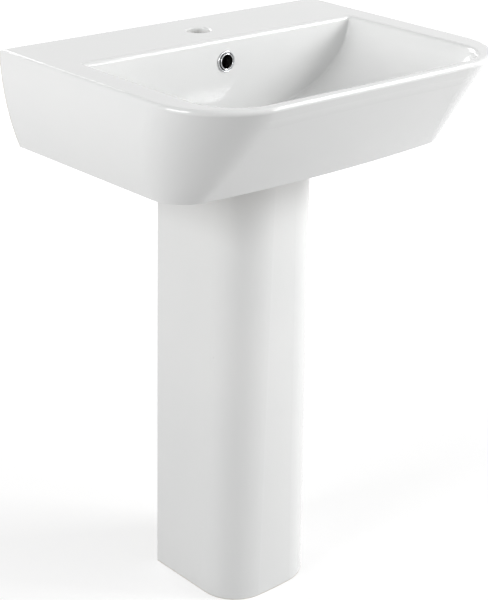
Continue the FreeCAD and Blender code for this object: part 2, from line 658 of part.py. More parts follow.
def makeWaste():
    """Everything between the bowl and the trap that stays still."""
    inside = "cartridge_radius - cartridge_wall"
    return [
        makeWasteBody(),
        ringAt("waste_flange_seal", "tail_radius + loose", "flange_radius - bevel", "seal_thick",
               "seat_height"),
        turned("waste_under_seal", [
            ("tail_radius + loose", "0"), ("boss_radius - seal_inset", "0"),
            ("boss_radius - seal_inset", "under_seal"), ("drain_radius - loose", "under_seal"),
            ("drain_radius - loose", "under_seal + seal_step"),
            ("tail_radius + loose", "under_seal + seal_step")],
            y="-drain_setback", z="boss_foot - under_seal"),
        ringAt("waste_washer", "tail_radius + loose", "boss_radius - washer_inset", "washer_thick",
               WASHER_FOOT),
        makeBacknut(),
        turned("plug_cartridge", [
            ("0", "0"), ("stem_radius - close", "0"), ("stem_radius - close", "bar_thick"),
            ("cartridge_radius", "bar_thick"), ("cartridge_radius", "cartridge_height"),
            ("stem_radius + close", "cartridge_height"),
            ("stem_radius + close", "cartridge_height - cartridge_end"),
            (inside, "cartridge_height - cartridge_end"), (inside, "bar_thick + cartridge_end"),
            ("0", "bar_thick + cartridge_end")], y="-drain_setback", z="bar_level"),
        makeOverflowRing()]


def makePlug():
    """The parts that travel when the plug is pressed, drawn in the open position."""
    collar, rim = "stem_radius + collar_width", "collar_height + cap_edge"
    cap = turned("plug_cap", [
        ("0", "socket_depth"), ("stem_radius - bevel", "socket_depth"), ("stem_radius - bevel", "0"),
        (collar, "0"), (collar, "collar_height"), ("plug_radius", "collar_height"), ("plug_radius", rim),
        ("0", "collar_height + cap_middle")], y="-drain_setback", z=PLUG_FOOT)
    edge = lambda p, e: abs(math.hypot(p.x, p.y) - size("plug_radius")) < 0.1 and p.z > size("cap_edge") + 1
    rounded(cap, "cap_edge_round", edge, "cap_round")
    top, near = "collar_height - close * 2", f"{collar} + close * 2"
    low, over = f"({top}) - plug_seal_thick", "tail_bore + plug_seal_over"
    seal = turned("plug_seal", [(near, low), (f"{over} - 1.4 * bevel", low), (over, top), (near, top)],
                  y="-drain_setback", z=PLUG_FOOT)
    foot = "(bar_level + bar_thick + cartridge_end + spring_height)"
    rise = f"({PLUG_FOOT} - {foot})"
    peg, head = "stem_radius - bevel - close", "cartridge_radius - cartridge_wall - loose"
    stem = turned("plug_stem", [
        ("0", "0"), (head, "0"), (head, "head_height"), ("stem_radius", "head_height"),
        ("stem_radius", rise), (peg, rise), (peg, f"{rise} + socket_depth - loose"),
        ("0", f"{rise} + socket_depth - loose")],
        y="-drain_setback", z=foot)
    return [cap, seal, stem, makeSpring()]


def makeSpring():
    body = newBody("plug_spring")
    wire = newSketch(body, "spring_wire", "XZ_Plane")
    circle(wire, "spring_radius", "0", "spring_wire")
    coil = feature(body, "AdditiveHelix", "spring_coil", wire, ReferenceAxis=(wire, ["V_Axis"]))
    coil.Mode = 0
    rise = "(spring_height - 2 * spring_wire - 4 * close)"
    coil.setExpression("Pitch", bind(f"{rise} / spring_turns"))
    coil.setExpression("Height", bind(rise))
    place(body, y="-drain_setback", z="bar_level + bar_thick + cartridge_end + spring_wire + 2 * close")
    return body


# ---- bottle trap and outlet ----

FORWARD = (FreeCAD.Vector(1, 0, 0), -90)


def unionNut(label, outer, thread, lip, depth, ledge, **where):
    """A union nut: open end down, a lip at the far end that holds a seal on the pipe."""
    return turned(label, [(thread, "0"), (f"{outer} - bevel", "0"), (outer, "bevel"),
                          (outer, f"{depth} - nut_slope - bevel"), (f"{outer} - nut_slope", depth),
                          (lip, depth), (lip, ledge), (thread, ledge)], **where)


def makeTrapBody():
    shoulder, neck = "(trap_top - trap_foot)", "(trap_top - trap_foot + neck)"
    bore, inside, thread = "pipe_radius + pipe_ease", "trap_radius - trap_wall", "thread_radius + close"
    ledge = "thread_length + 2 * bevel"
    body = turned("trap_body", [
        (thread, "0"), ("trap_radius", "0"), ("trap_radius", f"{shoulder} - trap_wall"), (inside, shoulder),
        ("neck_radius", shoulder), ("neck_radius", neck), (bore, neck), (bore, f"{shoulder} - trap_wall"),
        (inside, f"{shoulder} - trap_wall"), (inside, ledge), (thread, ledge)],
        y="-drain_setback", z="trap_foot")
    level, wall = "trap_level - trap_foot", "(trap_radius - bevel - trap_wall)"
    branch = circle(newSketch(body, "branch_end", "XZ_Plane", f"-{wall}"), "0", level, "neck_radius")
    feature(body, "Pad", "branch", branch, Length=f"branch_length - {wall}", Reversed=True)
    way = circle(newSketch(body, "branch_bore", "XZ_Plane", f"-({wall} - past)"), "0", level, bore)
    feature(body, "Pocket", "branch_way", way, Type=0, Length="branch_length", Reversed=False)
    return body


def makeTrapCup():
    """The lower half of the bottle, which unscrews for cleaning."""
    deep = "(trap_foot - cup_seal - cup_foot)"
    top = f"({deep} + cup_seal + thread_length - bevel)"
    outside, throat = "trap_radius - bevel", "thread_radius - cup_wall"
    body = turned("trap_cup", [
        ("0", "0"), (outside, "0"), (outside, deep), ("thread_radius", deep), ("thread_radius", top),
        (throat, top), (throat, f"{deep} - trap_wall"), (f"{outside} - cup_wall", f"{deep} - trap_wall"),
        (f"{outside} - cup_wall", "cup_wall"), ("0", "cup_wall")], y="-drain_setback", z="cup_foot")
    foot = lambda p, e: p.z < 0.01 and math.hypot(p.x, p.y) > size("trap_radius") - 2
    rounded(body, "cup_corner", foot, "cup_round")
    return body


def makeTrap():
    lip, inside, seal_edge = "pipe_radius + loose", "pipe_radius - pipe_wall", "neck_radius - loose"
    nut = lambda label, **where: unionNut(label, "nut_radius", "neck_radius + 2 * close", lip, "nut_height",
                                          "nut_grip + trap_seal", **where)
    seal = [("pipe_radius + close", "0"), (seal_edge, "0"), (seal_edge, "trap_seal"),
            ("pipe_radius + close", "trap_seal")]
    rim, ledge, top = "tail_radius - 4 * loose", "tail_foot - top_seal - pipe_wall - dip_foot", \
        "tail_foot - top_seal - dip_foot"
    return [
        unionNut("trap_top_nut", "top_nut_radius", "tail_radius + close", lip, "top_nut_height",
                 "top_nut_thread", y="-drain_setback", z="tail_foot + top_nut_grip",
                 turn=(FreeCAD.Vector(1, 0, 0), 180)),
        ringAt("trap_top_seal", inside, "tail_radius - loose", "top_seal", "tail_foot - top_seal"),
        turned("trap_inlet_tube", [(inside, "0"), ("pipe_radius", "0"), ("pipe_radius", ledge), (rim, ledge),
                                   (rim, top), (inside, top)], y="-drain_setback", z="dip_foot"),
        nut("trap_inlet_nut", y="-drain_setback", z="trap_top + neck - nut_grip"),
        turned("trap_inlet_seal", seal, y="-drain_setback", z="trap_top + neck"),
        makeTrapBody(),
        makeTrapCup(),
        ringAt("trap_cup_seal", "thread_radius + 1.5 * loose", "trap_radius - bevel / 2", "cup_seal",
               "trap_foot - cup_seal"),
        nut("trap_outlet_nut", y="-drain_setback + branch_length - nut_grip", z="trap_level", turn=FORWARD),
        turned("trap_outlet_seal", seal, y="-drain_setback + branch_length", z="trap_level", turn=FORWARD),
        makeOutletPipe()]


def makeOutletPipe():
    """Straight pipe from the trap to the wall; its bead stops whatever is pushed over the end."""
    start = "(drain_setback - trap_radius - trap_wall - bevel)"
    bead, inside = f"({start} - bead_setback)", "pipe_radius - pipe_wall"
    return turned("outlet_pipe", [
        (inside, "0"), ("pipe_radius", "0"), ("pipe_radius", f"{bead} - 2 * bead_height"),
        ("pipe_radius + bead_height", f"{bead} - 1.5 * bead_height"),
        ("pipe_radius + bead_height", f"{bead} - bead_height / 2"), ("pipe_radius", bead),
        ("pipe_radius", f"{start} - pipe_gap"), (inside, f"{start} - pipe_gap")],
        y=f"-{start}", z="trap_level", turn=FORWARD)


# ---- build, check and write ----

def pieces():
    return [makeBasin(), makePedestal(), makePads()] + makeWaste() + makePlug() + makeTrap()


def checked(parts):
    """Stop on anything that FreeCAD left broken."""
    doc.recompute()
    for item in doc.Objects:
        if {"Invalid", "Error"} & set(item.State):
            raise RuntimeError(f"{item.Label} did not build: {item.State}")
    for part in parts:
        if part.Shape.isNull() or not part.Shape.isValid():
            raise RuntimeError(f"{part.Label} has no sound shape")
        print(f"{part.Label:20} {len(part.Shape.Solids)} solid(s) {part.Shape.Volume / 1000:9.2f} cm3")
    return parts


os.makedirs("parts", exist_ok=True)
for part in checked(pieces()):
    part.Shape.exportStep(f"parts/{part.Label}.step")
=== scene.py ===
import json
import math

import bpy
import numpy as np
from mathutils import Matrix, Vector
from mathutils.bvhtree import BVHTree


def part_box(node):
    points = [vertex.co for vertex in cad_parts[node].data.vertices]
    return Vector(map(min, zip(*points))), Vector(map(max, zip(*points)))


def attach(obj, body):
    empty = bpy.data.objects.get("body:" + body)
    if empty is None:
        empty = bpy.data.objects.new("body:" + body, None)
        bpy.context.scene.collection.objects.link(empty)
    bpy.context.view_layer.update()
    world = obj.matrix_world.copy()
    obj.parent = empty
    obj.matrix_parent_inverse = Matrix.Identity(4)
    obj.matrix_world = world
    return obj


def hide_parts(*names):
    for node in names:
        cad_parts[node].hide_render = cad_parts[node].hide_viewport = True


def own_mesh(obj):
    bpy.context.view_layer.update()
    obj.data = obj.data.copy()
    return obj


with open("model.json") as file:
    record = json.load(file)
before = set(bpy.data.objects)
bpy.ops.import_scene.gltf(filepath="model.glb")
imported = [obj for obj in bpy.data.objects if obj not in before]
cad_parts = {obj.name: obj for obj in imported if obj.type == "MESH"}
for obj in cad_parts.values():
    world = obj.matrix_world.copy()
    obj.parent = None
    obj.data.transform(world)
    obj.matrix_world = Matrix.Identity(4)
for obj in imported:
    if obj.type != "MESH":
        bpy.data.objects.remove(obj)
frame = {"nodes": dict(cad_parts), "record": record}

nodes = frame["nodes"]
scene = bpy.context.scene
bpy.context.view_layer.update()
print("frame loaded:", len(nodes), "nodes")


def added(name, data):  # a new object in the scene
    thing = bpy.data.objects.new(name, data)
    scene.collection.objects.link(thing)
    return thing


# node trees

def put(tree, kind, inputs=None, **options):
    node = tree.nodes.new(kind)
    for key, value in options.items():
        setattr(node, key, value)
    for key, value in (inputs or {}).items():
        if isinstance(value, bpy.types.NodeSocket):
            tree.links.new(value, node.inputs[key])
        else:
            node.inputs[key].default_value = value
    return node


def sums(tree, operation, first, second=0.0, third=0.0):
    return put(tree, "ShaderNodeMath", {0: first, 1: second, 2: third}, operation=operation).outputs[0]


def spread(tree, value, low, high, newLow=0.0, newHigh=1.0):
    values = {"Value": value, "From Min": low, "From Max": high, "To Min": newLow, "To Max": newHigh}
    return put(tree, "ShaderNodeMapRange", values).outputs[0]


def blend(tree, factor, first, second):
    return put(tree, "ShaderNodeMix", {0: factor, 2: first, 3: second}, data_type="FLOAT").outputs[0]


def blendColour(tree, factor, first, second):
    return put(tree, "ShaderNodeMix", {0: factor, 6: first, 7: second}, data_type="RGBA").outputs[2]


def marked(tree, name):  # a value that a mesh carries, 0 on meshes without it
    return put(tree, "ShaderNodeAttribute", attribute_name=name).outputs["Fac"]


def newGroup(name, inputs, outputs):
    tree = bpy.data.node_groups.new(name, "ShaderNodeTree")
    for label, kind, value in inputs:
        socket = tree.interface.new_socket(label, in_out="INPUT", socket_type="NodeSocket" + kind)
        if value is not None:
            socket.default_value = value
    for label, kind in outputs:
        tree.interface.new_socket(label, in_out="OUTPUT", socket_type="NodeSocket" + kind)
    return tree, tree.nodes.new("NodeGroupInput").outputs, tree.nodes.new("NodeGroupOutput").inputs


def noise(tree, vector, scale, detail=2.0, roughness=0.5):
    values = {"Vector": vector, "Scale": scale, "Detail": detail, "Roughness": roughness}
    return put(tree, "ShaderNodeTexNoise", values).outputs["Fac"]


wanderForm = {"detail": 3.0, "middle": 0.5}


def makeWander():  # slow change of tone over a surface
    tree, given, out = newGroup("slowWander", [("Vector", "Vector", None), ("Scale", "Float", 4.0),
                                               ("Sharpness", "Float", 0.2)], [("Mask", "Float")])
    cloud = noise(tree, given["Vector"], given["Scale"], wanderForm["detail"])
    low = sums(tree, "SUBTRACT", wanderForm["middle"], given["Sharpness"])
    high = sums(tree, "ADD", wanderForm["middle"], given["Sharpness"])
    tree.links.new(spread(tree, cloud, low, high), out["Mask"])
    return tree


flowForm = {"detail": 1.0}


def makeGlazeFlow():  # the gentle ripple and fine peel of a sprayed and fired glaze
    tree, given, out = newGroup("glazeFlow", [("Vector", "Vector", None), ("Ripple Scale", "Float", 9.0),
                                              ("Peel Scale", "Float", 160.0), ("Peel Share", "Float", 0.12)],
                                [("Height", "Float")])
    ripple = noise(tree, given["Vector"], given["Ripple Scale"], flowForm["detail"])
    peel = noise(tree, given["Vector"], given["Peel Scale"], flowForm["detail"])
    tree.links.new(sums(tree, "MULTIPLY_ADD", peel, given["Peel Share"], ripple), out["Height"])
    return tree


speckForm = {"core": 0.55}  # share of a mark's width that is fully coloured


def makeSpecks():  # a few small round marks, one in some of the cells
    tree, given, out = newGroup("pinSpecks", [("Vector", "Vector", None), ("Scale", "Float", 60.0),
                                              ("Size", "Float", 0.08), ("Share", "Float", 0.03)],
                                [("Mask", "Float")])
    cells = put(tree, "ShaderNodeTexVoronoi", {"Vector": given["Vector"], "Scale": given["Scale"]})
    chance = put(tree, "ShaderNodeSeparateColor", {"Color": cells.outputs["Color"]}).outputs["Red"]
    picked = sums(tree, "LESS_THAN", chance, given["Share"])
    core = sums(tree, "MULTIPLY", given["Size"], speckForm["core"])
    dot = spread(tree, cells.outputs["Distance"], given["Size"], core)
    tree.links.new(sums(tree, "MULTIPLY", dot, picked), out["Mask"])
    return tree


grainForm = {"detail": 4.0, "roughness": 0.7, "gritShare": 0.4, "stainStep": 60.0, "stainDetail": 3.0,
             "stainShare": 0.6, "low": 0.35, "high": 0.65}


def makeGrain():  # sandy grain of bare fired clay, rubber or moulded plastic
    tree, given, out = newGroup("fineGrain", [
        ("Vector", "Vector", None), ("Scale", "Float", 700.0), ("Light", "Color", (1, 1, 1, 1)),
        ("Dark", "Color", (0, 0, 0, 1))], [("Color", "Color"), ("Height", "Float")])
    grit = noise(tree, given["Vector"], given["Scale"], grainForm["detail"], grainForm["roughness"])
    stainScale = sums(tree, "DIVIDE", given["Scale"], grainForm["stainStep"])
    stains = noise(tree, given["Vector"], stainScale, grainForm["stainDetail"])
    fine = sums(tree, "MULTIPLY", grit, grainForm["gritShare"])
    both = sums(tree, "MULTIPLY_ADD", stains, grainForm["stainShare"], fine)
    shade = spread(tree, both, grainForm["low"], grainForm["high"])
    tree.links.new(blendColour(tree, shade, given["Dark"], given["Light"]), out["Color"])
    tree.links.new(grit, out["Height"])
    return tree


turnedForm = {"detail": 3.0, "low": 0.4, "high": 0.6}


def makeTurned():  # rings that a lathe leaves, along the height and across the end faces
    tree, given, out = newGroup("turnedRings", [("Vector", "Vector", None), ("Spacing", "Float", 900.0)],
                                [("Height", "Float"), ("Mask", "Float")])
    plan = put(tree, "ShaderNodeVectorMath", {0: given["Vector"], 1: (1, 1, 0)}, operation="MULTIPLY")
    radius = put(tree, "ShaderNodeVectorMath", {0: plan.outputs[0]}, operation="LENGTH").outputs["Value"]
    level = put(tree, "ShaderNodeSeparateXYZ", {0: given["Vector"]}).outputs["Z"]
    along = sums(tree, "MULTIPLY", sums(tree, "ADD", radius, level), given["Spacing"])
    values = {"W": along, "Scale": 1.0, "Detail": turnedForm["detail"]}
    rings = put(tree, "ShaderNodeTexNoise", values, noise_dimensions="1D").outputs["Fac"]
    tree.links.new(rings, out["Height"])
    tree.links.new(spread(tree, rings, turnedForm["low"], turnedForm["high"]), out["Mask"])
    return tree


scuffForm = {"detail": 2.0, "low": 0.62, "high": 0.70,
             "ways": (((0.3, 0.2, 0.5), (1, 14, 1)), ((1.1, 0.4, 2.2), (12, 1, 1)))}  # turn and stretch


def makeScuffs():  # fine short scratches in two directions
    tree, given, out = newGroup("fineScuffs", [("Vector", "Vector", None), ("Scale", "Float", 90.0),
                                               ("Amount", "Float", 0.5)], [("Mask", "Float")])
    marks = []
    for turn, stretch in scuffForm["ways"]:
        values = {"Vector": given["Vector"], "Rotation": turn, "Scale": stretch}
        placed = put(tree, "ShaderNodeMapping", values)
        lines = noise(tree, placed.outputs[0], given["Scale"], scuffForm["detail"])
        marks.append(spread(tree, lines, scuffForm["low"], scuffForm["high"]))
    tree.links.new(sums(tree, "MULTIPLY", sums(tree, "MAXIMUM", *marks), given["Amount"]), out["Mask"])
    return tree


groups = {"wander": makeWander(), "glaze": makeGlazeFlow(), "specks": makeSpecks(),
          "grain": makeGrain(), "turned": makeTurned(), "scuffs": makeScuffs()}


def use(tree, name, **inputs):
    values = {key.replace("_", " "): value for key, value in inputs.items()}
    return put(tree, "ShaderNodeGroup", values, node_tree=groups[name]).outputs


def newMaterial(name, **values):
    material = bpy.data.materials.new(name)
    material.use_nodes = True
    tree = material.node_tree
    shader = tree.nodes["Principled BSDF"]
    for key, value in values.items():
        shader.inputs[key.replace("_", " ")].default_value = value
    place = put(tree, "ShaderNodeTexCoord").outputs["Object"]
    return material, tree, shader.inputs, place


def bump(tree, height, distance):
    return put(tree, "ShaderNodeBump", {"Height": height, "Distance": distance, "Strength": 1.0}).outputs[0]


# finishes

glaze = {"white": (0.865, 0.868, 0.862, 1), "shade": (0.835, 0.842, 0.838, 1),
         "speck": (0.30, 0.29, 0.27, 1), "speckScale": 48.0, "speckSize": 0.030, "speckShare": 0.035,
         "speckShow": 0.8, "toneScale": 5.0, "toneSharpness": 0.22, "rippleScale": 8.0, "ripple": 0.0009,
         "peelScale": 150.0, "peelShare": 0.05, "index": 1.5, "coat": 0.35, "coatRough": 0.035,
         "smooth": 0.10, "dull": 0.15}
# ductShade is a near-black painted shade for the bare clay inside the overflow duct
clay = {"light": (0.80, 0.76, 0.69, 1), "dark": (0.66, 0.61, 0.53, 1), "ductShade": (0.05, 0.046, 0.04, 1),
        "scale": 900.0, "grain": 0.00025, "rough": 0.85, "edge": 0.0012, "ragged": 0.002,
        "raggedScale": 90.0, "raggedDetail": 3.0}


def makeGlazed():  # white glaze, with bare clay at the wall, at the floor and in the hollows
    material, tree, shader, place = newMaterial(
        "glazedCeramic", IOR=glaze["index"], Coat_Weight=glaze["coat"], Coat_Roughness=glaze["coatRough"])
    tone = use(tree, "wander", Vector=place, Scale=glaze["toneScale"],
               Sharpness=glaze["toneSharpness"])["Mask"]
    specks = use(tree, "specks", Vector=place, Scale=glaze["speckScale"], Size=glaze["speckSize"],
                 Share=glaze["speckShare"])["Mask"]
    sand = use(tree, "grain", Vector=place, Scale=clay["scale"], Light=clay["light"], Dark=clay["dark"])
    flow = use(tree, "glaze", Vector=place, Ripple_Scale=glaze["rippleScale"],
               Peel_Scale=glaze["peelScale"], Peel_Share=glaze["peelShare"])["Height"]
    where = put(tree, "ShaderNodeSeparateXYZ", {0: place}).outputs
    uneven = noise(tree, place, clay["raggedScale"], clay["raggedDetail"])
    ragged = sums(tree, "MULTIPLY", uneven, clay["ragged"])
    middle = 0.5 * clay["ragged"]
    behind = sums(tree, "GREATER_THAN", sums(tree, "ADD", where["Y"], ragged), middle - clay["edge"])
    below = sums(tree, "LESS_THAN", sums(tree, "ADD", where["Z"], ragged), middle + clay["edge"])
    bare = sums(tree, "MAXIMUM", marked(tree, "bareClay"), sums(tree, "MAXIMUM", behind, below))
    # painted shade: the bare clay inside the overflow duct turns near-black
    clayColour = blendColour(tree, marked(tree, "ductShade"), sand["Color"], clay["ductShade"])
    colour = blendColour(tree, tone, glaze["shade"], glaze["white"])
    colour = blendColour(tree, sums(tree, "MULTIPLY", specks, glaze["speckShow"]), colour, glaze["speck"])
    tree.links.new(blendColour(tree, bare, colour, clayColour), shader["Base Color"])
    sheen = spread(tree, tone, 0.0, 1.0, glaze["smooth"], glaze["dull"])
    tree.links.new(blend(tree, bare, sheen, clay["rough"]), shader["Roughness"])
    tree.links.new(spread(tree, bare, 0.0, 1.0, glaze["coat"], 0.0), shader["Coat Weight"])
    wave = sums(tree, "MULTIPLY", flow, glaze["ripple"])
    grit = sums(tree, "MULTIPLY", sand["Height"], clay["grain"])
    tree.links.new(bump(tree, blend(tree, bare, wave, grit), 1.0), shader["Normal"])
    return material


chrome = {"bright": (0.80, 0.81, 0.82, 1), "dull": (0.70, 0.71, 0.73, 1), "scale": (0.82, 0.81, 0.78, 1),
          "paintedShade": (0.03, 0.03, 0.028, 1), "toneScale": 22.0, "toneSharpness": 0.15, "scuffScale": 160.0,
          "scuffs": 0.6, "scuffShow": 0.5, "spotScale": 240.0, "spotSize": 0.22, "spotShare": 0.06,
          "spotShow": 0.5, "smooth": 0.06, "rough": 0.34, "scaleAndShade": 0.35,
          "waveScale": 60.0, "waveDetail": 1.0, "wave": 0.0001}


def makeChrome():  # polished, with limescale spots, and painted shade where a mesh marks it
    material, tree, shader, place = newMaterial("polishedChrome", Metallic=1.0)
    tone = use(tree, "wander", Vector=place, Scale=chrome["toneScale"],
               Sharpness=chrome["toneSharpness"])["Mask"]
    scuffs = use(tree, "scuffs", Vector=place, Scale=chrome["scuffScale"], Amount=chrome["scuffs"])["Mask"]
    spots = use(tree, "specks", Vector=place, Scale=chrome["spotScale"], Size=chrome["spotSize"],
                Share=chrome["spotShare"])["Mask"]
    # painted shade: near-black colour in the ring's groove and along its foot against the ceramic
    paintedShade = marked(tree, "paintedShade")
    colour = blendColour(tree, tone, chrome["dull"], chrome["bright"])
    colour = blendColour(tree, sums(tree, "MULTIPLY", spots, chrome["spotShow"]), colour, chrome["scale"])
    tree.links.new(blendColour(tree, paintedShade, colour, chrome["paintedShade"]), shader["Base Color"])
    scaleAndShade = sums(tree, "MAXIMUM", spots, paintedShade)
    wornAndShaded = sums(tree, "MAXIMUM", sums(tree, "MULTIPLY", scuffs, chrome["scuffShow"]), scaleAndShade)
    tree.links.new(spread(tree, wornAndShaded, 0.0, 1.0, chrome["smooth"], chrome["rough"]), shader["Roughness"])
    tree.links.new(spread(tree, scaleAndShade, 0.0, 1.0, 1.0, chrome["scaleAndShade"]), shader["Metallic"])
    waves = noise(tree, place, chrome["waveScale"], chrome["waveDetail"])
    tree.links.new(bump(tree, waves, chrome["wave"]), shader["Normal"])
    return material


brass = {"bright": (0.83, 0.62, 0.30, 1), "dull": (0.55, 0.40, 0.20, 1), "axisOf": "waste_body",
         "rings": 2600.0, "stainScale": 60.0, "stainSharpness": 0.12, "stainShow": 0.8,
         "smooth": 0.22, "rough": 0.38, "groove": 0.00012}


def makeBrass():  # turned on a lathe round the waste's axis
    material, tree, shader, place = newMaterial("turnedBrass", Metallic=1.0)
    low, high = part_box(brass["axisOf"])
    centre = (low + high) / 2
    own = put(tree, "ShaderNodeMapping", {"Vector": place, "Location": (-centre.x, -centre.y, 0)})
    rings = use(tree, "turned", Vector=own.outputs[0], Spacing=brass["rings"])
    stain = use(tree, "wander", Vector=place, Scale=brass["stainScale"],
                Sharpness=brass["stainSharpness"])["Mask"]
    stained = sums(tree, "MULTIPLY", stain, brass["stainShow"])
    tree.links.new(blendColour(tree, stained, brass["dull"], brass["bright"]), shader["Base Color"])
    dulled = spread(tree, rings["Mask"], 0.0, 1.0, brass["smooth"], brass["rough"])
    tree.links.new(dulled, shader["Roughness"])
    tree.links.new(bump(tree, rings["Height"], brass["groove"]), shader["Normal"])
    return material


rubber = {"light": (0.055, 0.055, 0.058, 1), "dark": (0.022, 0.022, 0.024, 1),
          "bloom": (0.16, 0.16, 0.16, 1), "scale": 1500.0, "bloomScale": 35.0, "bloomSharpness": 0.1,
          "bloomShow": 0.25, "specular": 0.35, "smooth": 0.55, "rough": 0.78, "grain": 0.0002}


def makeRubber():  # black, with a pale bloom
    material, tree, shader, place = newMaterial("blackRubber", Specular_IOR_Level=rubber["specular"])
    grain = use(tree, "grain", Vector=place, Scale=rubber["scale"], Light=rubber["light"],
                Dark=rubber["dark"])
    bloom = use(tree, "wander", Vector=place, Scale=rubber["bloomScale"],
                Sharpness=rubber["bloomSharpness"])["Mask"]
    faded = sums(tree, "MULTIPLY", bloom, rubber["bloomShow"])
    tree.links.new(blendColour(tree, faded, grain["Color"], rubber["bloom"]), shader["Base Color"])
    tree.links.new(spread(tree, bloom, 0.0, 1.0, rubber["smooth"], rubber["rough"]), shader["Roughness"])
    tree.links.new(bump(tree, grain["Height"], rubber["grain"]), shader["Normal"])
    return material


plastic = {"light": (0.82, 0.82, 0.80, 1), "dark": (0.74, 0.74, 0.71, 1), "scale": 1100.0,
           "scuffScale": 120.0, "scuffs": 0.5, "smooth": 0.36, "rough": 0.6, "grain": 0.00006}


def makePlastic():
    material, tree, shader, place = newMaterial("whitePlastic")
    grain = use(tree, "grain", Vector=place, Scale=plastic["scale"], Light=plastic["light"],
                Dark=plastic["dark"])
    scuffs = use(tree, "scuffs", Vector=place, Scale=plastic["scuffScale"],
                 Amount=plastic["scuffs"])["Mask"]
    tree.links.new(grain["Color"], shader["Base Color"])
    tree.links.new(spread(tree, scuffs, 0.0, 1.0, plastic["smooth"], plastic["rough"]), shader["Roughness"])
    tree.links.new(bump(tree, grain["Height"], plastic["grain"]), shader["Normal"])
    return material


steel = {"bright": (0.62, 0.61, 0.60, 1), "dull": (0.42, 0.41, 0.40, 1), "stainScale": 220.0,
         "stainSharpness": 0.15, "scuffScale": 500.0, "scuffs": 0.8, "smooth": 0.28, "rough": 0.5,
         "grainScale": 1800.0, "grainDetail": 2.0, "grain": 0.00004}


def makeSteel():
    material, tree, shader, place = newMaterial("drawnSteel", Metallic=1.0)
    stain = use(tree, "wander", Vector=place, Scale=steel["stainScale"],
                Sharpness=steel["stainSharpness"])["Mask"]
    scuffs = use(tree, "scuffs", Vector=place, Scale=steel["scuffScale"], Amount=steel["scuffs"])["Mask"]
    tree.links.new(blendColour(tree, stain, steel["dull"], steel["bright"]), shader["Base Color"])
    tree.links.new(spread(tree, scuffs, 0.0, 1.0, steel["smooth"], steel["rough"]), shader["Roughness"])
    grain = noise(tree, place, steel["grainScale"], steel["grainDetail"])
    tree.links.new(bump(tree, grain, steel["grain"]), shader["Normal"])
    return material


finishes = {"glazed_ceramic": makeGlazed(), "chrome": makeChrome(), "brass": makeBrass(),
            "rubber": makeRubber(), "white_plastic": makePlastic(), "steel": makeSteel()}
for part in frame["record"]["subparts"]:
    mesh = nodes[part["node"]].data
    mesh.materials.clear()
    mesh.materials.append(finishes[part["material_slot"]])
print("finishes made:", len(finishes))


# ceramic bodies

weld = {"decimals": 6}


def weldedCopy(name, node):  # one closed mesh with the exact surface normals of the solid
    source = nodes[node].data
    count = len(source.loops)
    points = np.empty(len(source.vertices) * 3)
    source.vertices.foreach_get("co", points)
    corners = np.empty(count, int)
    source.loops.foreach_get("vertex_index", corners)
    normals = np.empty(count * 3)
    source.corner_normals.foreach_get("vector", normals)
    points, normals = points.reshape(-1, 3), normals.reshape(-1, 3, 3)
    spots, index = np.unique(np.round(points, weld["decimals"]), axis=0, return_inverse=True)
    faces = index.reshape(-1)[corners].reshape(-1, 3)
    whole = (faces[:, 0] != faces[:, 1]) & (faces[:, 1] != faces[:, 2]) & (faces[:, 2] != faces[:, 0])
    faces, normals = faces[whole], normals[whole]
    mesh = bpy.data.meshes.new(name)
    mesh.from_pydata(spots.tolist(), [], faces.tolist())
    mesh.polygons.foreach_set("use_smooth", [True] * len(faces))
    mesh.normals_split_custom_set(normals.reshape(-1, 3).tolist())
    return added(name, mesh)


hollow = {"step": 0.0005, "reach": 2.0, "underside": -0.75}
duct = {"low": (-0.0222, -0.1235, 0.70), "high": (0.0222, -0.1058, 0.8262)}  # the overflow's way down


def markClay(piece):  # bare where a face has ceramic above and before it, painted shade inside the duct
    mesh, up = piece.data, Vector((0, 0, 1))
    tree = BVHTree.FromPolygons([v.co for v in mesh.vertices], [p.vertices for p in mesh.polygons])
    bare, ductShade = [], []
    for face in mesh.polygons:
        facing = face.normal
        spot = face.center + facing * hollow["step"]
        above, before = (tree.ray_cast(spot, way, hollow["reach"])[0] for way in (up, facing))
        faced = facing.z < hollow["underside"] or before is not None
        bare.append(float(above is not None and faced))
        # faces inside the overflow duct get the painted shade
        inside = all(low <= at <= high for low, at, high in zip(duct["low"], face.center, duct["high"]))
        ductShade.append(float(inside))
    for label, values in (("bareClay", bare), ("ductShade", ductShade)):
        mesh.attributes.new(label, "FLOAT", "FACE").data.foreach_set("value", values)


def makeCeramic():
    for name, node in (("basinGlazed", "basin"), ("pedestalGlazed", "pedestal")):
        piece = weldedCopy(name, node)
        markClay(piece)
        piece.data.materials.append(finishes["glazed_ceramic"])
        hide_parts(node)
        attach(piece, "sink")


makeCeramic()
print("ceramic made")


# geometry trees for grips, threads and the spring

def newShapeTree(name, inputs):
    tree = bpy.data.node_groups.new(name, "GeometryNodeTree")
    tree.interface.new_socket("Geometry", in_out="INPUT", socket_type="NodeSocketGeometry")
    for label, kind, value in inputs:
        socket = tree.interface.new_socket(label, in_out="INPUT", socket_type="NodeSocket" + kind)
        socket.default_value = value
    tree.interface.new_socket("Finish", in_out="INPUT", socket_type="NodeSocketMaterial")
    tree.interface.new_socket("Geometry", in_out="OUTPUT", socket_type="NodeSocketGeometry")
    return tree, tree.nodes.new("NodeGroupInput").outputs, tree.nodes.new("NodeGroupOutput").inputs


def middleOfWire(tree, given):  # half its width, and the radius that leaves it proud of the wall
    half = sums(tree, "MULTIPLY", given["Width"], 0.5)
    return half, sums(tree, "ADD", sums(tree, "SUBTRACT", given["Radius"], half), given["Proud"])


